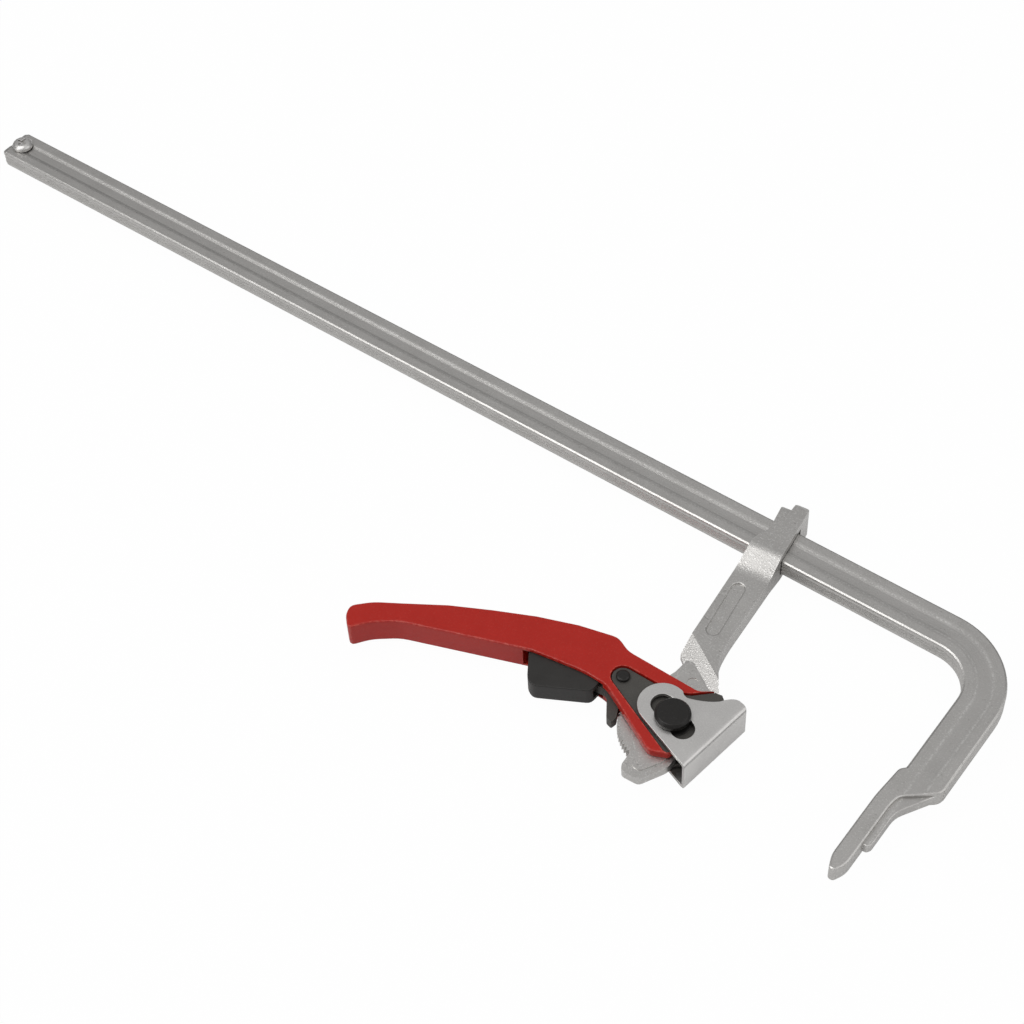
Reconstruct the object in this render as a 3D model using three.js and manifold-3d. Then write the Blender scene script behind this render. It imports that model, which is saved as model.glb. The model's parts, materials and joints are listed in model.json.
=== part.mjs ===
// Lever F clamp, millimetres. X runs along the rail toward the fixed jaw, the throat is toward -Y, +Z up.
// The clamp lies on its side. x = 0 is the inner edge of the fixed jaw, y = 0 the spine of the rail.
import * as THREE from 'three';
import { mergeVertices } from 'three/addons/utils/BufferGeometryUtils.js';
import Module from 'manifold-3d';

const wasm = await Module();
wasm.setup();

// Clearances
const gap = 0.3;
const slideFit = 0.6;
const rimGap = 0.5;

// Rail and fixed jaw
const railWidth = 21;
const railThick = 10;
const railReach = 663;
const railCorner = 1.2;
const hollowInset = 6;
const hollowSlope = 2;
const hollowDepth = 0.5;
const keyDepth = 0.5;
const keyPitch = 2.4;
const bendRadius = 22;
const jawLength = 156;
const jawShoulder = 93;
const padThick = 8.5;
const padProud = 4;
const padStart = 111;
const padMiddle = 131;
const ribDepth = 3.5;
const ribHalf = 3;
const ribLength = 43;
const endChamfer = 2;

// Stop screw at the free end
const screwThread = 3;
const screwHeadRadius = 6;
const screwHeadHeight = 3.4;
const screwInset = 8;

// Sliding arm, drawn square and then rocked on the rail
const armX = -120.5;
const armRock = THREE.MathUtils.degToRad(6);
const headHalf = 9.5;
const lugHalf = 7;
const shankHalf = 5;
const webHalf = 3;
const toothHalf = 2.4;
const windowPlay = 3;
const headBack = 23.2;
const rampStart = -11;
const rampEnd = -25;
const grooveRadius = 3.3;
const grooveDepth = 1;
const grooveTop = -36.5;
const grooveBottom = -64.5;
const embossRadius = 2.9;
const embossDepth = 0.5;
const stepTilt = THREE.MathUtils.degToRad(18.4);
const forkSweep = 26.7;
const stepTurn = THREE.MathUtils.degToRad(-38);

// Main pivot and its pin
const pivot = new THREE.Vector2(-101.8, -131.5);
const pinRadius = 5.4;
const pinHeadRadius = 8.8;
const pinHeadHeight = 3.6;
const pinHeadChamfer = 1.3;
const washerRadius = 9.4;

// Ratchet on the end of the arm
const toothTip = 26.3;
const toothDepth = 1.6;
const toothCount = 15;
const ratchetFrom = THREE.MathUtils.degToRad(182);
const ratchetTo = THREE.MathUtils.degToRad(254);

// Handle
const handleEdge = 1.1;
const pocketFloor = 0.8;
const pocketRim = 0.9;
const channelWall = 1.8;

// Cam plates and the cross pin
const crossPin = new THREE.Vector2(-135.1, -124.5);
const crossPinRadius = 2.5;
const crossHeadRadius = 3.4;
const crossHeadHeight = 1.6;
const plateThick = 2.3;
const plateEnd = 5.6;
const camRise = 4;
const camGap = 1;
const camFrom = THREE.MathUtils.degToRad(22);
const camTo = THREE.MathUtils.degToRad(-40);

// Pressure shoe, drawn square about the pivot and then turned
const shoeTurn = THREE.MathUtils.degToRad(-8);
const shoeSheet = 2;
const shoeFace = 23;
const shoeTop = 27.5;
const shoeBottom = -17.3;
const shoeBend = 3;
const slotPlay = 0.4;
const slotTurn = THREE.MathUtils.degToRad(-14.2);
const slotBack = new THREE.Vector2(-8.4, 0).rotateAround(new THREE.Vector2(), slotTurn);
const slotFront = new THREE.Vector2(8.3, 0).rotateAround(new THREE.Vector2(), slotTurn);
const earRadius = 12.2;

// Trigger, pawl and spring
const triggerHalf = 5.4;
const pawlHalf = 2.8;
const pawlBoss = 4.6;
const rollPinRadius = 1.25;
const springRadius = 2.6;
const springWire = 0.45;
const springTurns = 5;
const springX = -168;
const springFoot = -132.4;
const springLength = 7.4;
const springSeat = springRadius + springWire + gap;

// Half heights of the layers, from the arm's web outward
const forkHalf = webHalf + gap;
const plateBottom = forkHalf + pocketFloor + gap;
const plateTop = plateBottom + plateThick;
const washerBottom = plateTop + gap;
const washerTop = plateTop + pocketRim;
const handleHalf = plateTop + pocketRim;
const earInner = handleHalf + gap;
const earOuter = earInner + shoeSheet;

const steel = { color: 0x9a9893, roughness: 0.42, metalness: 0.85 };
const colours = {
  steel,
  stamped: { color: 0xa3a19d, roughness: 0.34, metalness: 0.85 },
  red: { color: 0xa8281e, roughness: 0.38, metalness: 0.1 },
  cam: { color: 0x4a4946, roughness: 0.5, metalness: 0.6 },
  black: { color: 0x24221f, roughness: 0.4, metalness: 0.5 },
  plastic: { color: 0x2b2926, roughness: 0.55, metalness: 0 },
};

// Geometry to manifold and back
function solid(geometry) {
  const bare = geometry.clone();
  bare.deleteAttribute('normal');
  bare.deleteAttribute('uv');
  const merged = mergeVertices(bare, 1e-5);
  return new wasm.Manifold(new wasm.Mesh({
    numProp: 3,
    vertProperties: new Float32Array(merged.attributes.position.array),
    triVerts: new Uint32Array(merged.index.array),
  }));
}

function geometryOf(manifold) {
  const mesh = manifold.getMesh();
  const geometry = new THREE.BufferGeometry();
  geometry.setAttribute('position', new THREE.BufferAttribute(new Float32Array(mesh.vertProperties), 3));
  geometry.setIndex(new THREE.BufferAttribute(new Uint32Array(mesh.triVerts), 1));
  const flat = geometry.toNonIndexed();
  flat.computeVertexNormals();
  return flat;
}

// An outline from corners [x, y, radius]. A corner's rounding stops short of half of each side next to it
function outline(corners) {
  const shape = new THREE.Shape();
  const count = corners.length;
  corners.forEach(([x, y, radius = 0], index) => {
    const here = new THREE.Vector2(x, y);
    const before = new THREE.Vector2(...corners[(index + count - 1) % count]).sub(here);
    const after = new THREE.Vector2(...corners[(index + 1) % count]).sub(here);
    const reach = Math.min(radius, before.length() * 0.45, after.length() * 0.45);
    const start = before.setLength(reach).add(here);
    const end = after.setLength(reach).add(here);
    if (index === 0) shape.moveTo(start.x, start.y);
    else shape.lineTo(start.x, start.y);
    if (reach > 0) shape.quadraticCurveTo(x, y, end.x, end.y);
  });
  shape.closePath();
  return shape;
}

// A flat plate between two heights, with its edges bevelled when asked
function plate(shape, low, high, edge = 0, segments = 4) {
  const geometry = new THREE.ExtrudeGeometry(shape, {
    depth: high - low - 2 * edge,
    bevelEnabled: edge > 0,
    bevelThickness: edge,
    bevelSize: edge,
    bevelOffset: -edge,
    bevelSegments: 2,
    curveSegments: segments,
  });
  return geometry.translate(0, 0, low + edge);
}

function disc(x, y, radius, low, high, sides = 28) {
  const geometry = new THREE.CylinderGeometry(radius, radius, high - low, sides);
  return geometry.rotateX(Math.PI / 2).translate(x, y, (low + high) / 2);
}

// A round body turned about a vertical axis from pairs [radius, height]
function turned(x, y, profile, sides = 28) {
  const points = profile.map(([radius, height]) => new THREE.Vector2(radius, height));
  const geometry = new THREE.LatheGeometry(points, sides);
  return geometry.rotateX(Math.PI / 2).translate(x, y, 0);
}

// A stadium between two centres, cut or added as a plate
function stadium(from, to, radius, low, high) {
  const along = new THREE.Vector2(to.x - from.x, to.y - from.y).normalize();
  const turn = Math.atan2(along.y, along.x);
  const shape = new THREE.Shape();
  shape.absarc(to.x, to.y, radius, turn - Math.PI / 2, turn + Math.PI / 2);
  shape.absarc(from.x, from.y, radius, turn + Math.PI / 2, turn + 1.5 * Math.PI);
  shape.closePath();
  return plate(shape, low, high, 0, 10);
}

function block(x0, x1, y0, y1, z0, z1) {
  const geometry = new THREE.BoxGeometry(x1 - x0, y1 - y0, z1 - z0);
  return geometry.translate((x0 + x1) / 2, (y0 + y1) / 2, (z0 + z1) / 2);
}

function both(geometry) {
  const upper = solid(geometry);
  const mirrored = upper.mirror([0, 0, 1]);
  return upper.add(mirrored);
}

// The row's origin is the middle of the fixed jaw's pressure face
const clamp = new THREE.Group();
clamp.name = 'lever_f_clamp';
clamp.position.set(padProud, padMiddle, 0);

function piece(name, manifold, finish, parent = clamp) {
  const material = new THREE.MeshStandardMaterial(finish);
  material.name = name;
  const mesh = new THREE.Mesh(geometryOf(manifold), material);
  mesh.name = name;
  parent.add(mesh);
  return mesh;
}

// Rail section: [distance from the spine, height], hollows in the wide faces and keys in the narrow ones
function railSection(hollow, inset) {
  const half = railThick / 2;
  const floor = half - hollowDepth * hollow;
  const key = keyDepth * hollow;
  const far = railWidth - hollowInset;
  const upper = [
    [0, 0],
    [key, keyPitch / 2],
    [0, keyPitch],
    [0, half - railCorner],
    [railCorner * 0.3, half - railCorner * 0.3],
    [railCorner, half],
    [hollowInset, half],
    [hollowInset + hollowSlope, floor],
    [far - hollowSlope, floor],
    [far, half],
    [railWidth - railCorner, half],
    [railWidth - railCorner * 0.3, half - railCorner * 0.3],
    [railWidth, half - railCorner],
    [railWidth, keyPitch],
    [railWidth - key, keyPitch / 2],
    [railWidth, 0],
  ];
  const lower = upper.slice(1, -1).reverse().map(([across, height]) => [across, -height]);
  const shrinkAcross = 1 - 2 * inset / railWidth;
  const shrinkHeight = 1 - inset / half * 0.6;
  return [...upper, ...lower].map(([across, height]) => [
    railWidth / 2 + (across - railWidth / 2) * shrinkAcross,
    height * shrinkHeight,
  ]);
}

// A bar through a list of stations: an origin on the spine and the direction across the bar
function sweptBar(stations) {
  const rings = stations.map(({ x, y, across, hollow = 1, inset = 0 }) => railSection(hollow, inset)
    .map(([distance, height]) => [
      x + Math.cos(across) * distance,
      y + Math.sin(across) * distance,
      height,
    ]));
  const count = rings[0].length;
  const positions = rings.flat(2);
  const index = [];
  for (let ring = 0; ring < rings.length - 1; ring += 1) {
    for (let side = 0; side < count; side += 1) {
      const next = (side + 1) % count;
      const a = ring * count + side;
      const b = ring * count + next;
      index.push(a, b, a + count, b, b + count, a + count);
    }
  }
  const cap = THREE.ShapeUtils.triangulateShape(
    railSection(stations[0].hollow ?? 1, 0).map(([u, v]) => new THREE.Vector2(u, v)), []);
  const last = (rings.length - 1) * count;
  cap.forEach(([a, b, c]) => {
    index.push(a, b, c);
    index.push(last + a, last + c, last + b);
  });
  const geometry = new THREE.BufferGeometry();
  geometry.setAttribute('position', new THREE.Float32BufferAttribute(positions, 3));
  geometry.setIndex(index);
  return geometry;
}

function buildRail() {
  const down = -Math.PI / 2;
  const stations = [
    { x: -railReach, y: 0, across: down, inset: endChamfer },
    { x: -railReach + endChamfer * 0.4, y: 0, across: down, inset: endChamfer * 0.45 },
    { x: -railReach + endChamfer * 1.4, y: 0, across: down },
  ];
  const bendSteps = 18;
  const outer = bendRadius + railWidth;
  for (let step = 0; step <= bendSteps; step += 1) {
    const angle = Math.PI / 2 * (1 - step / bendSteps);
    stations.push({
      x: -bendRadius + Math.cos(angle) * outer,
      y: -outer + Math.sin(angle) * outer,
      across: angle + Math.PI,
    });
  }
  stations.push({ x: railWidth, y: -jawShoulder + 20, across: Math.PI });
  stations.push({ x: railWidth, y: -jawShoulder + 8, across: Math.PI, hollow: 0.05 });
  stations.push({ x: railWidth, y: -jawShoulder + 2, across: Math.PI, hollow: 0.05 });
  const half = railThick / 2;
  const padBack = padThick - padProud;
  const end = outline([
    [railWidth, -jawShoulder + 4],
    [railWidth - 0.6, -jawShoulder - 0.5, 3],
    [padBack + 1, -padStart + 5, 3],
    [padBack, -padStart - 1, 2],
    [padBack, -jawLength + 6, 3],
    [padBack - 3, -jawLength, 2],
    [-padProud + 2.6, -jawLength, 2],
    [-padProud, -jawLength + 7, 3],
    [-padProud, -padStart, 3],
    [-padProud + 1.6, -jawShoulder + 0.5, 2],
    [0, -jawShoulder + 3],
    [0, -jawShoulder + 4],
  ]);
  const rib = outline([
    [railWidth - 1, -jawShoulder],
    [padBack + ribDepth, -padStart - 2, 4],
    [padBack + ribDepth, -jawShoulder - ribLength + 2, 1.5],
    [padBack + ribDepth - 1.5, -jawShoulder - ribLength, 1],
    [0, -jawShoulder - ribLength],
    [0, -jawShoulder],
  ]);
  const screwX = -railReach + screwInset;
  return solid(sweptBar(stations))
    .add(solid(plate(end, -half, half, 0.9)))
    .add(solid(plate(rib, -ribHalf, ribHalf, 0.7)))
    .subtract(solid(disc(screwX, -railWidth / 2, screwThread + gap, -half - 1, half + 1)));
}
piece('rail_with_fixed_jaw', buildRail(), colours.steel);

function buildScrew() {
  const half = railThick / 2;
  const under = half + gap;
  const top = under + screwHeadHeight;
  const x = -railReach + screwInset;
  const y = -railWidth / 2;
  const body = solid(turned(x, y, [
    [0, -half + 0.5],
    [screwThread - 0.4, -half + 0.5],
    [screwThread, -half + 1],
    [screwThread, under],
    [screwHeadRadius, under],
    [screwHeadRadius, top - 1.8],
    [screwHeadRadius - 1, top - 0.6],
    [screwHeadRadius - 2.6, top],
    [0, top],
  ]));
  const arm = 2.9;
  const slit = 0.6;
  return body
    .subtract(solid(block(x - arm, x + arm, y - slit, y + slit, top - 1.7, top + 1)))
    .subtract(solid(block(x - slit, x + slit, y - arm, y + arm, top - 1.7, top + 1)));
}
piece('end_stop_screw', buildScrew(), colours.steel);

// The sliding arm is drawn square about the middle of the rail, then rocked as a group
const arm = new THREE.Group();
arm.position.set(armX, -railWidth / 2, 0);
arm.rotation.z = armRock;
clamp.add(arm);
const armPivot = pivot.clone().sub(new THREE.Vector2(armX, -railWidth / 2))
  .rotateAround(new THREE.Vector2(), -armRock);

function ratchetShape() {
  const shape = [];
  const from = ratchetFrom - armRock;
  const pitch = (ratchetTo - ratchetFrom) / toothCount;
  for (let tooth = 0; tooth < toothCount; tooth += 1) {
    const angle = from + tooth * pitch;
    shape.push([
      armPivot.x + Math.cos(angle) * (toothTip - toothDepth),
      armPivot.y + Math.sin(angle) * (toothTip - toothDepth),
    ]);
    shape.push([
      armPivot.x + Math.cos(angle + pitch * 0.82) * toothTip,
      armPivot.y + Math.sin(angle + pitch * 0.82) * toothTip,
    ]);
  }
  return shape;
}

function buildArm() {
  const plan = outline([
    [7.1, headBack, 2],
    [-0.5, headBack, 1.5],
    [-2, 4.1, 4],
    [-9.5, -5.1, 4],
    [-10.2, -24, 3],
    [-10.3, -83.9, 1],
    [-5.9, -88, 2],
    [12, -112],
    [17.9, -97.9, 2],
    [8.2, -79.8, 5],
    [7.3, -68, 5],
    [8.6, -26, 4],
    [8, -8, 4],
  ]);
  const lug = outline([
    [0.5, headBack - 3.4],
    [-7.1, headBack - 3.6, 1],
    [-6, 4, 2],
    [-9.4, -5, 1],
    [1, -5],
  ]);
  // Side view along the rail: high head, ramp, slimmer shank
  const side = outline([
    [headBack, headHalf - 1],
    [headBack - 1.5, headHalf],
    [rampStart, headHalf, 2],
    [rampEnd, shankHalf, 3],
    [-125, shankHalf],
    [-125, -shankHalf],
    [rampEnd, -shankHalf, 3],
    [rampStart, -headHalf, 2],
    [headBack - 1.5, -headHalf],
    [headBack, -headHalf + 1],
  ]);
  const sideSolid = plate(side, -20, 30);
  // The side view's first axis becomes Y, its second Z
  sideSolid.applyMatrix4(new THREE.Matrix4().set(0, 0, 1, 0, 1, 0, 0, 0, 0, 1, 0, 0, 0, 0, 0, 1));
  let body = solid(plate(plan, -12, 12)).intersect(solid(sideSolid));
  body = body.add(solid(plate(lug, -lugHalf, lugHalf)));
  // The step where the shank thins to the web, on both faces
  const step = new THREE.BoxGeometry(80, 40, 20).translate(0, -20, 10);
  step.rotateX(stepTilt);
  step.rotateZ(stepTurn);
  step.translate(2, -81, shankHalf);
  body = body.subtract(both(step));
  body = body.subtract(both(disc(armPivot.x, armPivot.y, forkSweep, webHalf, headHalf, 48)));
  // Window round the rail
  const windowHalf = (railWidth + windowPlay) / 2;
  const windowHeight = railThick / 2 + slideFit;
  body = body.subtract(solid(block(-30, 30, -windowHalf, windowHalf, -windowHeight, windowHeight)));
  const top = new THREE.Vector2(-3.2, grooveTop);
  const bottom = new THREE.Vector2(-2.4, grooveBottom);
  body = body.subtract(both(stadium(top, bottom, grooveRadius, shankHalf - grooveDepth, shankHalf + 1)));
  // Thin web with the ratchet, and its raised middle
  const web = outline([
    [9, -84],
    [-5.5, -86],
    [-6.8, -92.8, 2],
    ...ratchetShape(),
    [-4.6, -153, 1],
    [-3, -156.3, 2],
    [6.4, -156.8, 2],
    [15.4, -143.7, 3],
    [16.3, -112, 5],
    [14, -98],
  ]);
  const raised = outline([
    [9, -84],
    [-5.5, -86],
    [-6.8, -92.8, 2],
    [-12.4, -118, 6],
    [-10, -134.5, 4],
    [-1.6, -144.5, 3],
    [-1.2, -151.5, 2],
    [4.6, -152.5, 2],
    [12.4, -142, 3],
    [15, -112, 5],
    [14, -98],
  ]);
  body = body
    .add(solid(plate(web, -toothHalf, toothHalf, 0, 3)))
    .add(solid(plate(raised, -webHalf, webHalf, 0, 3)));
  const embossTop = new THREE.Vector2(3, -96.3);
  const embossBottom = new THREE.Vector2(6.2, -106);
  body = body.subtract(both(stadium(embossTop, embossBottom, embossRadius, webHalf - embossDepth, webHalf + 1)));
  return body.subtract(solid(disc(armPivot.x, armPivot.y, pinRadius + gap, -12, 12)));
}
piece('sliding_arm', buildArm(), colours.steel, arm);

// Main pivot: headed pin, its pressed-on lower head and two washers
const headFrom = earOuter + gap;
function buttonHead(sign) {
  const top = headFrom + pinHeadHeight;
  return [
    [pinHeadRadius, sign * headFrom],
    [pinHeadRadius, sign * (top - pinHeadChamfer)],
    [pinHeadRadius - pinHeadChamfer, sign * top],
    [0, sign * top],
  ];
}
const neck = pinRadius - 1.6;
piece('pivot_pin', solid(turned(pivot.x, pivot.y, [
  [0, -headFrom - pinHeadHeight + 0.8],
  [neck, -headFrom - pinHeadHeight + 0.8],
  [neck, -headFrom + 0.2],
  [pinRadius, -headFrom + 0.2],
  [pinRadius, headFrom],
  ...buttonHead(1),
], 32)), colours.black);
piece('pivot_pin_lower_cap', solid(turned(pivot.x, pivot.y, [
  [0, -headFrom - pinHeadHeight],
  ...buttonHead(-1).slice(0, -1).reverse(),
  [0, -headFrom],
], 32)).subtract(solid(disc(pivot.x, pivot.y, neck + gap / 2, -headFrom - pinHeadHeight + 0.5, 0, 32))),
colours.black);
[['upper', 1], ['lower', -1]].forEach(([side, sign]) => {
  const span = [sign * washerBottom, sign * washerTop].sort((a, b) => a - b);
  const ring = solid(disc(pivot.x, pivot.y, washerRadius, ...span, 36))
    .subtract(solid(disc(pivot.x, pivot.y, pinRadius + gap, -20, 20, 32)));
  piece(`pivot_washer_${side}`, ring, colours.black);
});

// Cam plate outline. The cam edge is an involute, so it pushes the shoe evenly as the handle turns
function camOutline(grow) {
  const points = [];
  const upper = [
    [crossPin.x, crossPin.y + plateEnd + grow],
    [-110, -118.9 + grow],
    [-102.5 - grow * 0.5, -114.8 + grow],
    [-94 - grow * 0.5, -106.8 + grow],
    [-90.5, -106.2 + grow],
    [-88.4, -107.9],
  ];
  points.push(...upper);
  const shoeInner = shoeFace - shoeSheet - camGap;
  const camSteps = 9;
  for (let step = 0; step <= camSteps; step += 1) {
    const angle = camFrom + (camTo - camFrom) * step / camSteps;
    const reach = shoeInner + camRise * (angle - shoeTurn);
    points.push([
      pivot.x + Math.cos(angle) * reach - Math.sin(angle) * camRise,
      pivot.y + Math.sin(angle) * reach + Math.cos(angle) * camRise,
    ]);
  }
  points.push([-93.6, -148 - grow]);
  points.push([-95.6, -148.2 - grow]);
  const tailTurn = THREE.MathUtils.degToRad(246.4);
  const tailSteps = 7;
  for (let step = 0; step <= tailSteps; step += 1) {
    const angle = tailTurn + (Math.PI / 2 - tailTurn) * step / tailSteps;
    if (step === tailSteps) break;
    points.push([
      crossPin.x + Math.cos(angle) * (plateEnd + grow),
      crossPin.y + Math.sin(angle) * (plateEnd + grow),
    ]);
  }
  return outline(points);
}

function buildCamPlate(low, high) {
  return solid(plate(camOutline(0), low, high, 0.25))
    .subtract(solid(disc(pivot.x, pivot.y, pinRadius + gap, -20, 20)))
    .subtract(solid(disc(crossPin.x, crossPin.y, crossPinRadius + gap, -20, 20)));
}
piece('cam_plate_upper', buildCamPlate(plateBottom, plateTop), colours.cam);
piece('cam_plate_lower', buildCamPlate(-plateTop, -plateBottom), colours.cam);

function buildHandle() {
  const plan = outline([
    [-268.5, -172, 3],
    [-270, -166.5, 3],
    [-262, -158.3, 4],
    [-250, -151],
    [-230, -138.5],
    [-210, -128.3],
    [-190, -119],
    [-170, -111.6],
    [-150, -106.6, 3],
    [-141.5, -110.6, 3],
    [-100.8, -110.9, 2],
    [-94.6, -106.4, 1],
    [-91.8, -107.4, 1],
    [-90, -126, 6],
    [-92.4, -148.4, 1.5],
    [-101.5, -152.6, 3],
    [-127, -139.2],
    [-139, -133.2, 3],
    [-152, -132.8, 6],
    [-180, -137.2],
    [-210, -148.3],
    [-244, -160.7, 4],
    [-255.5, -169.5, 4],
    [-262, -178.5, 3],
  ]);
  let body = solid(plate(plan, -handleHalf, handleHalf, handleEdge, 3));
  // Fork slot for the arm and pawl
  const slot = outline([
    [-143.5, -100],
    [-143.5, -160],
    [-70, -160],
    [-70, -100],
  ]);
  body = body.subtract(solid(plate(slot, -forkHalf, forkHalf)));
  // Channel for the trigger, open below
  const channelHalf = handleHalf - channelWall;
  const channel = outline([
    [-184.5, -160],
    [-184.5, -129.5, 2],
    [-178, -125.5, 3],
    [-146, -121.5, 3],
    [-141, -124, 3],
    [-140.2, -160],
  ]);
  body = body.subtract(solid(plate(channel, -channelHalf, channelHalf)));
  // Pockets for the cam plates, open toward the shoe
  const pocket = plate(camOutline(rimGap), forkHalf + pocketFloor, handleHalf + 2);
  body = body.subtract(both(pocket));
  body = body.subtract(solid(disc(pivot.x, pivot.y, pinRadius + gap, -20, 20)));
  return body.subtract(solid(disc(crossPin.x, crossPin.y, crossPinRadius + gap, -20, 20)));
}
piece('handle', buildHandle(), colours.red);

// Cross pin with a head above and a pressed-on cap below
const crossHeadFrom = plateTop + gap;
const crossHeadTop = crossHeadFrom + crossHeadHeight;
piece('cross_pin', solid(turned(crossPin.x, crossPin.y, [
  [0, -crossHeadFrom],
  [crossPinRadius, -crossHeadFrom],
  [crossPinRadius, crossHeadFrom],
  [crossHeadRadius, crossHeadFrom],
  [crossHeadRadius, crossHeadTop - 0.5],
  [crossHeadRadius - 0.7, crossHeadTop],
  [0, crossHeadTop],
], 22)), colours.black);
piece('cross_pin_lower_cap', solid(turned(crossPin.x, crossPin.y, [
  [0, -crossHeadTop],
  [crossHeadRadius - 0.7, -crossHeadTop],
  [crossHeadRadius, -crossHeadTop + 0.5],
  [crossHeadRadius, -crossHeadFrom - gap],
  [0, -crossHeadFrom - gap],
], 22)), colours.black);

// Pressure shoe, drawn square about the pivot and then turned as a group
const shoe = new THREE.Group();
shoe.position.set(pivot.x, pivot.y, 0);
shoe.rotation.z = shoeTurn;
clamp.add(shoe);

function buildShoe() {
  const side = new THREE.Shape();
  side.moveTo(shoeFace, shoeBottom);
  side.lineTo(shoeFace, shoeTop - 2);
  side.quadraticCurveTo(shoeFace, shoeTop + 0.6, shoeFace - 6, shoeTop + 0.5);
  side.quadraticCurveTo(shoeFace - 9.5, shoeTop, shoeFace - 12.5, shoeTop - 6);
  side.quadraticCurveTo(6, 16.2, -2, 12.6);
  side.quadraticCurveTo(-4.4, 12.4, -6, slotBack.y + earRadius * 0.985);
  side.absarc(slotBack.x, slotBack.y, earRadius, THREE.MathUtils.degToRad(85), THREE.MathUtils.degToRad(259));
  side.closePath();
  // U section: web between the ears, rounded where the sheet is bent
  const section = outline([
    [-30, earOuter],
    [shoeFace, earOuter, shoeBend],
    [shoeFace, -earOuter, shoeBend],
    [-30, -earOuter],
    [-30, -earInner],
    [shoeFace - shoeSheet, -earInner, shoeBend - shoeSheet],
    [shoeFace - shoeSheet, earInner, shoeBend - shoeSheet],
    [-30, earInner],
  ]);
  const channel = plate(section, -40, 40);
  // The section's second axis becomes Z, its length Y
  channel.applyMatrix4(new THREE.Matrix4().set(1, 0, 0, 0, 0, 0, -1, 0, 0, 1, 0, 0, 0, 0, 0, 1));
  return solid(plate(side, -12, 12, 0, 8))
    .intersect(solid(channel))
    .subtract(solid(stadium(slotBack, slotFront, pinRadius + slotPlay, -12, 12)));
}
piece('pressure_shoe', buildShoe(), colours.stamped, shoe);

// Pawl: a rocker on the cross pin whose nose meets the ratchet and whose tail sits in the trigger
function buildPawl() {
  const reach = toothTip + gap + 0.1;
  const noseTurn = THREE.MathUtils.degToRad(207);
  const nose = [pivot.x + Math.cos(noseTurn) * reach, pivot.y + Math.sin(noseTurn) * reach];
  const shape = outline([
    [crossPin.x + 3.4, crossPin.y - 3],
    [pivot.x - reach - 1.6, pivot.y - 3, 2],
    [nose[0] - 0.2, nose[1], 0.3],
    [nose[0] - 0.9, nose[1] - 3.2, 0.8],
    [nose[0] - 4.2, nose[1] - 2.4, 0.8],
    [crossPin.x - 3.5, crossPin.y - 8.5, 3],
    [-160, -136.5, 1],
    [-161, -131.5, 1],
    [crossPin.x - 4, crossPin.y + 2],
  ]);
  return solid(plate(shape, -pawlHalf, pawlHalf, 0, 3))
    .add(solid(disc(crossPin.x, crossPin.y, pawlBoss, -pawlHalf, pawlHalf, 24)))
    .subtract(solid(disc(crossPin.x, crossPin.y, crossPinRadius + gap, -20, 20)))
    .subtract(solid(disc(-155, -133.4, rollPinRadius + gap / 2, -20, 20, 16)));
}
piece('pawl', buildPawl(), colours.cam);

function buildTrigger() {
  const shape = outline([
    [-182.5, -136.4, 2.5],
    [-173, -150.6, 2.5],
    [-168.5, -152.8, 2.5],
    [-143.5, -139.4, 2.5],
    [-143, -131, 2.5],
    [-158, -129.4, 4],
  ]);
  const tail = outline([
    [-140, -128],
    [-140, -137],
    [-150, -138.2],
    [-161.5, -137.6],
    [-162.5, -128],
  ]);
  return solid(plate(shape, -triggerHalf, triggerHalf, 0.6, 3))
    .subtract(solid(plate(tail, -pawlHalf - gap, pawlHalf + gap)))
    .subtract(solid(disc(-155, -133.4, rollPinRadius + gap / 2, -triggerHalf + 0.8, triggerHalf - 0.8, 16)))
    .subtract(solid(new THREE.CylinderGeometry(springSeat, springSeat, 2.4, 20)
      .translate(springX, springFoot - 0.1, 0)));
}
piece('trigger', buildTrigger(), colours.plastic);
piece('trigger_roll_pin', solid(disc(-155, -133.4, rollPinRadius, -triggerHalf + 1.1, triggerHalf - 1.1, 16)),
  steel);

// Return spring between the roof of the channel and the trigger
function buildSpring() {
  class Helix extends THREE.Curve {
    getPoint(t, target = new THREE.Vector3()) {
      const angle = t * springTurns * 2 * Math.PI;
      return target.set(
        springX + Math.cos(angle) * springRadius,
        springFoot + t * springLength,
        Math.sin(angle) * springRadius,
      );
    }
  }
  const wire = new THREE.Shape();
  wire.absarc(0, 0, springWire, 0, Math.PI * 2);
  return solid(new THREE.ExtrudeGeometry(wire, {
    steps: springTurns * 12,
    extrudePath: new Helix(),
    curveSegments: 3,
    bevelEnabled: false,
  }));
}
piece('trigger_return_spring', buildSpring(), steel);

export default clamp;
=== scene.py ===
import json
import math

import bmesh
import bpy
from mathutils import Matrix, Vector


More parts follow.
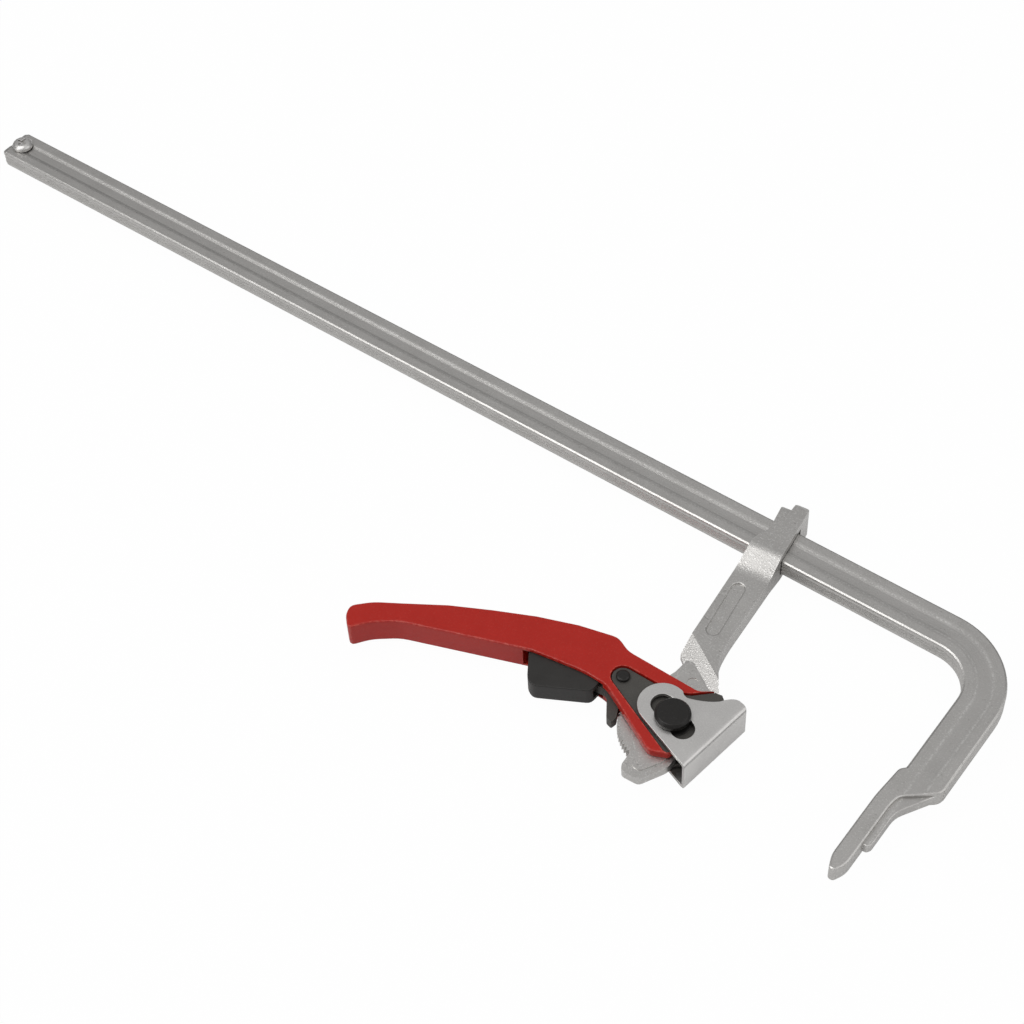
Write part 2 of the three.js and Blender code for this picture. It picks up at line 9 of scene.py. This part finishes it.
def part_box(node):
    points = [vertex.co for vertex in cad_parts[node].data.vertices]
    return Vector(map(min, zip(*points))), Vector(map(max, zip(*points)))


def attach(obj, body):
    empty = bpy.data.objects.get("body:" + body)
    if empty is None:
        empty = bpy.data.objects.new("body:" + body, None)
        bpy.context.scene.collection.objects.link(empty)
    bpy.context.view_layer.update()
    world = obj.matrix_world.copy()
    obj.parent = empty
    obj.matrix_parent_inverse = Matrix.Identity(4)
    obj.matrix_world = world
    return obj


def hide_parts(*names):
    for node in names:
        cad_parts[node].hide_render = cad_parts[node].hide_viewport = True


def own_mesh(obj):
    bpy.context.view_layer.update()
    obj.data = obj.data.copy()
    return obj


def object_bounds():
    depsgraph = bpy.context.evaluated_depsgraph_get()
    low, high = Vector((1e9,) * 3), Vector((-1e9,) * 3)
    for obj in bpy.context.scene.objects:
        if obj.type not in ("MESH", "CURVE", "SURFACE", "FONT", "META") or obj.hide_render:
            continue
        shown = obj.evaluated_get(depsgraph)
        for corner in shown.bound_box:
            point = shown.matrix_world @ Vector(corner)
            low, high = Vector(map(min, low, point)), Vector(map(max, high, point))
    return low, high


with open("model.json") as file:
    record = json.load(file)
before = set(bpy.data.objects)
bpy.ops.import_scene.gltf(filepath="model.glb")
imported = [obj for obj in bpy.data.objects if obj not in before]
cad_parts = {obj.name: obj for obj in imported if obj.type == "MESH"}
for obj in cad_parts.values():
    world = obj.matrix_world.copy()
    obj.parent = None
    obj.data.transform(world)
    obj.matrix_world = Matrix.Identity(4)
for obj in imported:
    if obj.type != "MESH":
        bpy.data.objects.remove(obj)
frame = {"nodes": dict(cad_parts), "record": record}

cadLow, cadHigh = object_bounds()
nodes = frame["nodes"]
bodies = frame["record"]["behaviour"]["bodies"]
bodyOf = {name: body for body, names in bodies.items() for name in names}


def newGroup(name, inputs, outputs):
    group = bpy.data.node_groups.new(name, "ShaderNodeTree")
    for label, kind, start in inputs:
        socket = group.interface.new_socket(name=label, in_out="INPUT", socket_type=kind)
        socket.default_value = start
    for label, kind in outputs:
        group.interface.new_socket(name=label, in_out="OUTPUT", socket_type=kind)
    entry = group.nodes.new("NodeGroupInput")
    leave = group.nodes.new("NodeGroupOutput")
    return group, entry, leave


def mathNode(tree, operation, first=None, second=None, clamp=False):
    node = tree.nodes.new("ShaderNodeMath")
    node.operation = operation
    node.use_clamp = clamp
    for socket, value in zip(node.inputs, (first, second)):
        if value is None:
            continue
        if isinstance(value, (int, float)):
            socket.default_value = value
        else:
            tree.links.new(value, socket)
    return node.outputs[0]


def noiseNode(tree, vector, scale, detail=4, roughness=0.55):
    node = tree.nodes.new("ShaderNodeTexNoise")
    node.inputs["Detail"].default_value = detail
    node.inputs["Roughness"].default_value = roughness
    if isinstance(scale, (int, float)):
        node.inputs["Scale"].default_value = scale
    else:
        tree.links.new(scale, node.inputs["Scale"])
    tree.links.new(vector, node.inputs["Vector"])
    return node.outputs["Fac"]


def rampNode(tree, value, low, high):
    node = tree.nodes.new("ShaderNodeMapRange")
    tree.links.new(value, node.inputs["Value"])
    for label, limit in (("From Min", low), ("From Max", high)):
        if isinstance(limit, (int, float)):
            node.inputs[label].default_value = limit
        else:
            tree.links.new(limit, node.inputs[label])
    return node.outputs["Result"]


# the edge mask gives worn edges on the metals, and worn edges together with a painted highlight line on the
# paints
def makeEdgeWearAndHighlight():  # a broken mask along the sharp edges
    group, entry, leave = newGroup(
        "edgeWearAndHighlight",
        [
            ("Radius", "NodeSocketFloat", 0.0006), ("Breakup", "NodeSocketFloat", 500.0),
            ("Start", "NodeSocketFloat", 0.985), ("Full", "NodeSocketFloat", 0.86),
        ],
        [("Mask", "NodeSocketFloat")],
    )
    place = group.nodes.new("ShaderNodeTexCoord").outputs["Object"]
    bevel = group.nodes.new("ShaderNodeBevel")
    bevel.samples = 4
    group.links.new(entry.outputs["Radius"], bevel.inputs["Radius"])
    geometry = group.nodes.new("ShaderNodeNewGeometry")
    dot = group.nodes.new("ShaderNodeVectorMath")
    dot.operation = "DOT_PRODUCT"
    group.links.new(bevel.outputs["Normal"], dot.inputs[0])
    group.links.new(geometry.outputs["Normal"], dot.inputs[1])
    edge = rampNode(group, dot.outputs["Value"], entry.outputs["Start"], entry.outputs["Full"])
    breakup = rampNode(group, noiseNode(group, place, entry.outputs["Breakup"], 3), 0.42, 0.62)
    group.links.new(mathNode(group, "MULTIPLY", edge, breakup, True), leave.inputs["Mask"])
    return group


def makeGrain():  # fine cast or rolled grain with broad cloudy patches
    group, entry, leave = newGroup(
        "metalGrain",
        [("Fine Scale", "NodeSocketFloat", 1800.0), ("Cloud Scale", "NodeSocketFloat", 60.0)],
        [
            ("Fine", "NodeSocketFloat"), ("Cloud", "NodeSocketFloat"),
            ("Pits", "NodeSocketFloat"), ("Sparkle", "NodeSocketFloat"),
        ],
    )
    place = group.nodes.new("ShaderNodeTexCoord").outputs["Object"]
    fine = noiseNode(group, place, entry.outputs["Fine Scale"], 2, 0.6)
    cloud = noiseNode(group, place, entry.outputs["Cloud Scale"], 5, 0.6)
    pitScale = mathNode(group, "MULTIPLY", entry.outputs["Fine Scale"], 0.35)
    pits = rampNode(group, noiseNode(group, place, pitScale, 2, 0.5), 0.66, 0.74)
    group.links.new(fine, leave.inputs["Fine"])
    group.links.new(cloud, leave.inputs["Cloud"])
    group.links.new(pits, leave.inputs["Pits"])
    shifted = group.nodes.new("ShaderNodeMapping")
    shifted.inputs["Location"].default_value = (3.1, 1.7, 0.4)
    group.links.new(place, shifted.inputs["Vector"])
    sparkScale = mathNode(group, "MULTIPLY", entry.outputs["Fine Scale"], 0.8)
    spark = rampNode(group, noiseNode(group, shifted.outputs["Vector"], sparkScale, 1, 0.5), 0.56, 0.72)
    group.links.new(spark, leave.inputs["Sparkle"])
    return group


def makeBarLines():  # lines that follow the bar round its bend, and its hollow
    group, entry, leave = newGroup(
        "barLines",
        [
            ("Bend X", "NodeSocketFloat", 0.0), ("Bend Y", "NodeSocketFloat", 0.0),
            ("Outer", "NodeSocketFloat", 0.04), ("Middle", "NodeSocketFloat", 0.01),
            ("Hollow Half", "NodeSocketFloat", 0.004), ("Lines", "NodeSocketFloat", 900.0),
        ],
        [("Lines", "NodeSocketFloat"), ("Hollow", "NodeSocketFloat"), ("Seam", "NodeSocketFloat")],
    )
    place = group.nodes.new("ShaderNodeTexCoord").outputs["Object"]
    split = group.nodes.new("ShaderNodeSeparateXYZ")
    group.links.new(place, split.inputs[0])
    reach = []
    for axis, label in (("X", "Bend X"), ("Y", "Bend Y")):
        beyond = mathNode(group, "SUBTRACT", split.outputs[axis], entry.outputs[label])
        beyond = mathNode(group, "MAXIMUM", beyond, 0.0)
        reach.append(mathNode(group, "MULTIPLY", beyond, beyond))
    radius = mathNode(group, "SQRT", mathNode(group, "ADD", reach[0], reach[1]))
    across = mathNode(group, "SUBTRACT", entry.outputs["Outer"], radius)
    off = mathNode(group, "ABSOLUTE", mathNode(group, "SUBTRACT", across, entry.outputs["Middle"]))
    inside = mathNode(group, "SUBTRACT", entry.outputs["Hollow Half"], off)
    group.links.new(rampNode(group, inside, -0.0015, 0.0015), leave.inputs["Hollow"])
    # both rims of each hollow, for a speckled light line: worn specks and a painted highlight
    seam = rampNode(group, mathNode(group, "ABSOLUTE", inside), 0.0008, 0.0)
    speckle = rampNode(group, noiseNode(group, place, 900, 2), 0.44, 0.6)
    group.links.new(mathNode(group, "MULTIPLY", seam, speckle), leave.inputs["Seam"])
    along = group.nodes.new("ShaderNodeCombineXYZ")
    group.links.new(across, along.inputs["X"])
    group.links.new(split.outputs["Z"], along.inputs["Y"])
    group.links.new(mathNode(group, "MULTIPLY", split.outputs["X"], 0.01), along.inputs["Z"])
    lines = noiseNode(group, along.outputs[0], entry.outputs["Lines"], 3, 0.6)
    group.links.new(lines, leave.inputs["Lines"])
    return group


edgeWearAndHighlight = makeEdgeWearAndHighlight()
metalGrain = makeGrain()
barLines = makeBarLines()
print("shared effects made")


def placeGroup(tree, group, **values):
    node = tree.nodes.new("ShaderNodeGroup")
    node.node_tree = group
    for label, value in values.items():
        node.inputs[label.replace("_", " ")].default_value = value
    return node


def placeEdgeWearAndHighlight(tree, look):
    return placeGroup(
        tree, edgeWearAndHighlight,
        Radius=look["edgeRadius"], Breakup=look["breakup"], Start=look["edgeStart"], Full=look["edgeFull"],
    )


def mixColour(tree, factor, first, second):
    node = tree.nodes.new("ShaderNodeMix")
    node.data_type = "RGBA"
    tree.links.new(factor, node.inputs["Factor"])
    for index, value in ((6, first), (7, second)):
        if isinstance(value, tuple):
            node.inputs[index].default_value = (*value, 1)
        else:
            tree.links.new(value, node.inputs[index])
    return node.outputs[2]


def startMaterial(name):
    material = bpy.data.materials.new(name)
    material.use_nodes = True
    tree = material.node_tree
    shader = tree.nodes["Principled BSDF"]
    return material, tree, shader


def addBump(tree, shader, height, distance):
    bump = tree.nodes.new("ShaderNodeBump")
    bump.inputs["Distance"].default_value = distance
    tree.links.new(height, bump.inputs["Height"])
    tree.links.new(bump.outputs["Normal"], shader.inputs["Normal"])


def addShare(tree, height, pattern, rise):  # raises or sinks the surface where the pattern is strong
    return mathNode(tree, "ADD", height, mathNode(tree, "MULTIPLY", pattern, rise))


def metalMaterial(name, look):
    material, tree, shader = startMaterial(name)
    grain = placeGroup(tree, metalGrain, Fine_Scale=look["fine"], Cloud_Scale=look["cloud"])
    wearAndHighlight = placeEdgeWearAndHighlight(tree, look)
    fine = rampNode(tree, grain.outputs["Fine"], 0.3, 0.7)
    cloud = rampNode(tree, grain.outputs["Cloud"], 0.35, 0.65)
    fine = mathNode(tree, "MULTIPLY", fine, look["fineShare"])
    cloud = mathNode(tree, "MULTIPLY", cloud, 1 - look["fineShare"])
    shade = mathNode(tree, "ADD", fine, cloud)
    colour = mixColour(tree, shade, look["dark"], look["pale"])
    stained = mathNode(tree, "MULTIPLY", grain.outputs["Pits"], look["stain"], True)
    colour = mixColour(tree, stained, colour, look["stainColour"])
    bright = mathNode(tree, "MULTIPLY", grain.outputs["Sparkle"], look["sparkle"])
    bright = mathNode(tree, "MAXIMUM", bright, wearAndHighlight.outputs["Mask"], True)
    colour = mixColour(tree, bright, colour, look["edge"])
    tree.links.new(colour, shader.inputs["Base Color"])
    rough = mathNode(tree, "MULTIPLY", grain.outputs["Fine"], look["roughSpread"])
    rough = mathNode(tree, "ADD", rough, look["rough"] - look["roughSpread"] / 2)
    worn = mathNode(tree, "MULTIPLY", bright, look["edgePolish"])
    tree.links.new(mathNode(tree, "SUBTRACT", rough, worn, True), shader.inputs["Roughness"])
    shader.inputs["Metallic"].default_value = look["metallic"]
    height = grain.outputs["Fine"]
    height = addShare(tree, height, grain.outputs["Sparkle"], look["sparkleRise"])
    if look["bar"]:
        lines = placeGroup(tree, barLines, **look["bar"])
        drawn = rampNode(tree, lines.outputs["Lines"], 0.3, 0.7)
        drawn = mathNode(tree, "MULTIPLY", drawn, look["lineShade"])
        colour = mixColour(tree, drawn, colour, look["dark"])
        # painted shade: the band of each hollow goes towards the darker hollow colour
        paintedHollowShade = mathNode(tree, "MULTIPLY", lines.outputs["Hollow"], look["hollowPaintedShade"])
        colour = mixColour(tree, paintedHollowShade, colour, look["hollow"])
        # partly worn specks, partly painted highlight: a speckled light line along the rims of the hollows
        rim = mathNode(tree, "MULTIPLY", lines.outputs["Seam"], look["seamWearAndHighlight"])
        colour = mixColour(tree, rim, colour, look["edge"])
        tree.links.new(colour, shader.inputs["Base Color"])
        height = addShare(tree, height, lines.outputs["Lines"], look["lineRise"])
        height = addShare(tree, height, lines.outputs["Hollow"], look["hollowRise"])
    height = addShare(tree, height, grain.outputs["Pits"], look["pitRise"])
    addBump(tree, shader, height, look["bump"])
    return material


plating = {
    "dark": (0.49, 0.478, 0.462), "pale": (0.60, 0.588, 0.570), "edge": (0.86, 0.85, 0.83),
    "metallic": 0.92, "rough": 0.37, "roughSpread": 0.12, "edgePolish": 0.12, "sparkle": 0.35,
    "fine": 1700, "cloud": 60, "fineShare": 0.55, "bar": None,
    "bump": 0.00004, "sparkleRise": 0.5, "pitRise": -0.8,
    "edgeRadius": 0.0006, "breakup": 700, "edgeStart": 0.985, "edgeFull": 0.86,
    "stain": 0.4, "stainColour": (0.26, 0.245, 0.23),
}
railShape = {"width": 0.021, "bend": 0.022, "hollowHalf": 0.0038, "lines": 1300}
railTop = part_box("rail_with_fixed_jaw")[1]
outerBend = railShape["width"] + railShape["bend"]
railSteel = metalMaterial("platedRail", {
    # hollow is the colour of the painted shade in the rail's hollows
    **plating, "hollow": (0.50, 0.488, 0.474), "hollowPaintedShade": 0.35, "hollowRise": -5.0,
    "seamWearAndHighlight": 0.5, "lineShade": 0.3, "lineRise": 0.8,
    "bar": {
        "Bend_X": railTop.x - outerBend, "Bend_Y": railTop.y - outerBend, "Outer": outerBend,
        "Middle": railShape["width"] / 2, "Hollow_Half": railShape["hollowHalf"], "Lines": railShape["lines"],
    },
})
forgedSteel = metalMaterial("platedForging", {**plating, "fine": 1500, "bump": 0.00006, "sparkle": 0.45})
stampedSteel = metalMaterial("platedSheet", {
    **plating, "dark": (0.60, 0.588, 0.575), "pale": (0.72, 0.708, 0.692), "rough": 0.34,
    "fine": 2000, "bump": 0.00003, "stain": 0.12,
})
camSteel = metalMaterial("darkPhosphate", {
    **plating, "dark": (0.070, 0.066, 0.060), "pale": (0.095, 0.090, 0.082), "edge": (0.20, 0.19, 0.175),
    "metallic": 0.5, "rough": 0.50, "fine": 2200, "bump": 0.00004, "stain": 0.1, "sparkle": 0.2,
    "stainColour": (0.03, 0.028, 0.026),
})
blackOxide = metalMaterial("blackOxide", {
    **plating, "dark": (0.014, 0.013, 0.012), "pale": (0.022, 0.020, 0.019), "edge": (0.08, 0.076, 0.072),
    "metallic": 0.4, "rough": 0.36, "fine": 1600, "bump": 0.00004, "stain": 0.1, "sparkle": 0.12,
    "stainColour": (0.008, 0.007, 0.007),
})


def paintMaterial(name, look):
    material, tree, shader = startMaterial(name)
    grain = placeGroup(tree, metalGrain, Fine_Scale=look["fine"], Cloud_Scale=look["cloud"])
    wearAndHighlight = placeEdgeWearAndHighlight(tree, look)
    cloud = rampNode(tree, grain.outputs["Cloud"], 0.3, 0.7)
    colour = mixColour(tree, cloud, look["dark"], look["pale"])
    # painted highlight: the sharp edges go towards the lighter edge colour, partly as paint worn thin, partly
    # as a highlight line
    wornEdgeAndHighlight = mathNode(tree, "MULTIPLY", wearAndHighlight.outputs["Mask"], look["edgeAmount"], True)
    flake = mathNode(tree, "MULTIPLY", grain.outputs["Sparkle"], look["flake"], True)
    colour = mixColour(tree, mathNode(tree, "MAXIMUM", wornEdgeAndHighlight, flake, True), colour, look["edge"])
    tree.links.new(colour, shader.inputs["Base Color"])
    rough = mathNode(tree, "MULTIPLY", grain.outputs["Cloud"], look["roughSpread"])
    rough = mathNode(tree, "ADD", rough, look["rough"] - look["roughSpread"] / 2)
    tree.links.new(rough, shader.inputs["Roughness"])
    shader.inputs["Specular IOR Level"].default_value = look["shine"]
    shader.inputs["Coat Weight"].default_value = look["coat"]
    shader.inputs["Coat Roughness"].default_value = look["coatRough"]
    peel = addShare(tree, grain.outputs["Fine"], grain.outputs["Pits"], look["pitRise"])
    addBump(tree, shader, peel, look["bump"])
    return material


# the lighter red edge colour is the painted highlight line along the edges, together with worn paint
redPaint = paintMaterial("redPaint", {
    "dark": (0.42, 0.013, 0.006), "pale": (0.45, 0.015, 0.008), "edge": (0.80, 0.22, 0.17),
    "edgeAmount": 0.55, "flake": 0.05, "rough": 0.32, "roughSpread": 0.08, "shine": 0.28,
    "coat": 0.08, "coatRough": 0.2, "fine": 1600, "cloud": 90, "bump": 0.00004, "pitRise": -0.4,
    "edgeRadius": 0.0013, "edgeStart": 0.975, "edgeFull": 0.93, "breakup": 500,
})
blackPlastic = paintMaterial("blackPlastic", {
    "dark": (0.020, 0.0185, 0.017), "pale": (0.028, 0.026, 0.024), "edge": (0.06, 0.058, 0.054),
    "edgeAmount": 0.5, "flake": 0.1, "rough": 0.46, "roughSpread": 0.14, "shine": 0.4,
    "coat": 0.0, "coatRough": 0.2, "fine": 1900, "cloud": 90, "bump": 0.00006, "pitRise": -0.4,
    "edgeRadius": 0.0005, "edgeStart": 0.985, "edgeFull": 0.86, "breakup": 500,
})
print("materials made")


def deselectAll():
    if bpy.context.object and bpy.context.object.mode != "OBJECT":
        bpy.ops.object.mode_set(mode="OBJECT")
    bpy.ops.object.select_all(action="DESELECT")


def pickOnly(piece):
    deselectAll()
    piece.select_set(True)
    bpy.context.view_layer.objects.active = piece


def softenRecess(piece, recess):  # rolls the rim of the long recess in each face of the shank
    pickOnly(piece)
    middleX, middleY = recess["middle"]

    def isOnRim(point):
        lineX = middleX + (middleY - point.y) * recess["lean"]
        onFace = abs(abs(point.z) - recess["height"]) < recess["close"]
        return onFace and abs(point.y - middleY) < recess["reach"] and abs(point.x - lineX) < recess["half"]

    shape = bmesh.new()
    shape.from_mesh(piece.data)
    for element in (*shape.verts, *shape.edges, *shape.faces):
        element.select = False
    for edge in shape.edges:
        if all(isOnRim(vertex.co) for vertex in edge.verts):
            edge.select = True
    print("recess edges:", sum(edge.select for edge in shape.edges))
    shape.to_mesh(piece.data)
    shape.free()
    bpy.ops.object.mode_set(mode="EDIT")
    bpy.context.tool_settings.mesh_select_mode = (False, True, False)
    bpy.ops.mesh.bevel(offset=recess["width"], segments=recess["steps"], affect="EDGES", clamp_overlap=False)
    bpy.ops.object.mode_set(mode="OBJECT")


cleaning = {"merge": 0.000002, "flat": 0.6}  # metres, degrees


def refine(node, material, settings):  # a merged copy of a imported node, with its corners eased
    pickOnly(nodes[node])
    bpy.ops.object.duplicate()
    piece = bpy.context.object
    piece.name = settings["name"]
    piece.data.name = settings["name"]
    bpy.ops.object.mode_set(mode="EDIT")
    bpy.ops.mesh.select_all(action="SELECT")
    bpy.ops.mesh.remove_doubles(threshold=cleaning["merge"])
    bpy.ops.mesh.dissolve_limited(angle_limit=math.radians(cleaning["flat"]))
    bpy.ops.object.mode_set(mode="OBJECT")
    if "recess" in settings:
        softenRecess(piece, settings["recess"])
    if settings["round"] > 0:
        bevel = piece.modifiers.new("soften", "BEVEL")
        bevel.width = settings["round"]
        bevel.segments = settings["steps"]
        bevel.limit_method = "ANGLE"
        bevel.angle_limit = math.radians(settings.get("limit", 32))
        bpy.ops.object.modifier_apply(modifier="soften")
    bpy.ops.object.shade_smooth_by_angle(angle=math.radians(settings.get("smooth", 38)))
    weighted = piece.modifiers.new("flatFaces", "WEIGHTED_NORMAL")
    weighted.mode = "FACE_AREA"
    weighted.weight = 100
    weighted.keep_sharp = True
    bpy.ops.object.modifier_apply(modifier="flatFaces")
    piece.data.materials.clear()
    piece.data.materials.append(material)
    piece.parent = None
    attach(piece, bodyOf[node])
    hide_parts(node)
    return piece


railBar = {"name": "railBar", "round": 0.0004, "steps": 2, "smooth": 12}  # keeps the shallow hollows crisp
refine("rail_with_fixed_jaw", railSteel, railBar)
stopScrew = {"name": "stopScrew", "round": 0.0003, "steps": 2}
refine("end_stop_screw", stampedSteel, stopScrew)

slidingArm = {
    "name": "slidingArm", "round": 0.0005, "steps": 2, "limit": 12,
    "recess": {
        "middle": (-0.11405, 0.0705), "lean": 0.134, "height": 0.005, "close": 0.00005,
        "half": 0.0045, "reach": 0.019, "width": 0.0008, "steps": 3,
    },
}
refine("sliding_arm", forgedSteel, slidingArm)

pivotPin = {"name": "pivotPin", "round": 0.00025, "steps": 2}
refine("pivot_pin", blackOxide, pivotPin)
refine("pivot_pin_lower_cap", blackOxide, {**pivotPin, "name": "pivotPinCap"})
for side in ("upper", "lower"):
    refine("pivot_washer_" + side, blackOxide, {"name": side + "Washer", "round": 0.0001, "steps": 1})
    refine("cam_plate_" + side, camSteel, {"name": side + "CamPlate", "round": 0.0002, "steps": 2})

handleCasting = {"name": "handleCasting", "round": 0.0004, "steps": 2}
refine("handle", redPaint, handleCasting)
crossPin = {"name": "crossPin", "round": 0.0002, "steps": 2}
refine("cross_pin", blackOxide, crossPin)
refine("cross_pin_lower_cap", blackOxide, {**crossPin, "name": "crossPinCap"})

pressureShoe = {"name": "pressureShoe", "round": 0.0004, "steps": 2}
refine("pressure_shoe", stampedSteel, pressureShoe)

pawlRocker = {"name": "pawlRocker", "round": 0.0003, "steps": 2}
refine("pawl", camSteel, pawlRocker)
triggerBlock = {"name": "triggerBlock", "round": 0.0005, "steps": 3}
refine("trigger", blackPlastic, triggerBlock)
refine("trigger_roll_pin", stampedSteel, {"name": "triggerPin", "round": 0.0001, "steps": 1})
returnSpring = {"name": "returnSpring", "round": 0.0, "shortest": 0.22}
spring = refine("trigger_return_spring", stampedSteel, returnSpring)
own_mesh(spring)
print("pieces finished:", len(nodes))

floorSettings = {"size": 8.0, "gap": 0.0003, "colour": (0.84, 0.84, 0.84, 1), "seen": 0.98, "mirrored": 0.25}


def makeFloor():
    deselectAll()
    place = (0, 0, cadLow.z - floorSettings["gap"])
    bpy.ops.mesh.primitive_plane_add(size=floorSettings["size"], location=place)
    floor = bpy.context.object
    floor.name = "studioFloor"
    material, tree, shader = startMaterial("paleFloor")
    shader.inputs["Base Color"].default_value = floorSettings["colour"]
    shader.inputs["Roughness"].default_value = 0.9
    path = tree.nodes.new("ShaderNodeLightPath")
    glow = tree.nodes.new("ShaderNodeEmission")
    glow.inputs["Color"].default_value = (1, 1, 1, 1)
    mix = tree.nodes.new("ShaderNodeMixShader")
    seen = mathNode(tree, "MULTIPLY", path.outputs["Is Camera Ray"], floorSettings["seen"])
    mirrored = mathNode(tree, "MULTIPLY", path.outputs["Is Glossy Ray"], floorSettings["mirrored"])
    tree.links.new(mathNode(tree, "MAXIMUM", seen, mirrored), mix.inputs[0])
    tree.links.new(shader.outputs[0], mix.inputs[1])
    tree.links.new(glow.outputs[0], mix.inputs[2])
    tree.links.new(mix.outputs[0], tree.nodes["Material Output"].inputs["Surface"])
    floor.data.materials.append(material)


makeFloor()

lamps = {
    "keyLamp": {"turn": -45, "lift": 66, "far": 1.9, "size": 1.3, "power": 11},
    "sideLamp": {"turn": 112, "lift": 38, "far": 1.9, "size": 1.8, "power": 5},
    "frontLamp": {"turn": -30, "lift": 30, "far": 1.9, "size": 1.1, "power": 4},
}
middle = (cadLow + cadHigh) / 2


def outward(turn, lift):  # degrees round from the front, degrees above the floor
    turn, lift = math.radians(turn), math.radians(lift)
    return Vector((math.sin(turn) * math.cos(lift), -math.cos(turn) * math.cos(lift), math.sin(lift)))


for name, lamp in lamps.items():
    light = bpy.data.lights.new(name, "AREA")
    light.shape = "DISK"
    light.size = lamp["size"]
    light.energy = lamp["power"]
    holder = bpy.data.objects.new(name, light)
    bpy.context.collection.objects.link(holder)
    holder.location = middle + lamp["far"] * outward(lamp["turn"], lamp["lift"])
    holder.rotation_mode = "QUATERNION"
    holder.rotation_quaternion = (middle - holder.location).to_track_quat("-Z", "Y")

world = bpy.data.worlds.new("studio")
bpy.context.scene.world = world
world.use_nodes = True
world.node_tree.nodes["Background"].inputs["Color"].default_value = (1, 1, 1, 1)
worldGlow = {"low": 0.22, "high": 0.66, "seen": 1.0}


def lightWorld(tree):  # soft studio ceiling: brighter overhead than at the horizon
    direction = tree.nodes.new("ShaderNodeSeparateXYZ")
    tree.links.new(tree.nodes.new("ShaderNodeTexCoord").outputs["Generated"], direction.inputs[0])
    height = rampNode(tree, direction.outputs["Z"], 0.3, 1.0)
    soft = mathNode(tree, "MULTIPLY", height, worldGlow["high"] - worldGlow["low"])
    soft = mathNode(tree, "ADD", soft, worldGlow["low"])
    path = tree.nodes.new("ShaderNodeLightPath")
    seen = mathNode(tree, "MULTIPLY", path.outputs["Is Camera Ray"], worldGlow["seen"])
    tree.links.new(mathNode(tree, "MAXIMUM", soft, seen), tree.nodes["Background"].inputs["Strength"])


lightWorld(world.node_tree)

cameraSettings = {
    "turn": 39.64, "lift": 50.26, "roll": 3.75, "far": 1.1128, "aimX": -0.2397, "aimY": 0.0626,
    "lens": 76.1, "sensor": 36, "nearest": 0.05, "furthest": 40,
}


def makeCamera():
    data = bpy.data.cameras.new("viewCamera")
    camera = bpy.data.objects.new("viewCamera", data)
    bpy.context.collection.objects.link(camera)
    data.lens = cameraSettings["lens"]
    data.sensor_width = cameraSettings["sensor"]
    data.clip_start = cameraSettings["nearest"]
    data.clip_end = cameraSettings["furthest"]
    turn = math.radians(cameraSettings["turn"])
    back = outward(cameraSettings["turn"], cameraSettings["lift"])
    aim = Vector((cameraSettings["aimX"], cameraSettings["aimY"], 0))
    right = Vector((math.cos(turn), math.sin(turn), 0))
    up = back.cross(right)
    roll = math.radians(cameraSettings["roll"])
    across = right * math.cos(roll) - up * math.sin(roll)
    above = right * math.sin(roll) + up * math.cos(roll)
    far = cameraSettings["far"]
    camera.matrix_world = Matrix((
        (across.x, above.x, back.x, aim.x + back.x * far),
        (across.y, above.y, back.y, aim.y + back.y * far),
        (across.z, above.z, back.z, aim.z + back.z * far),
        (0, 0, 0, 1),
    ))
    bpy.context.scene.camera = camera


makeCamera()
bpy.context.scene.view_settings.view_transform = "Standard"
print("stage, light and camera set")
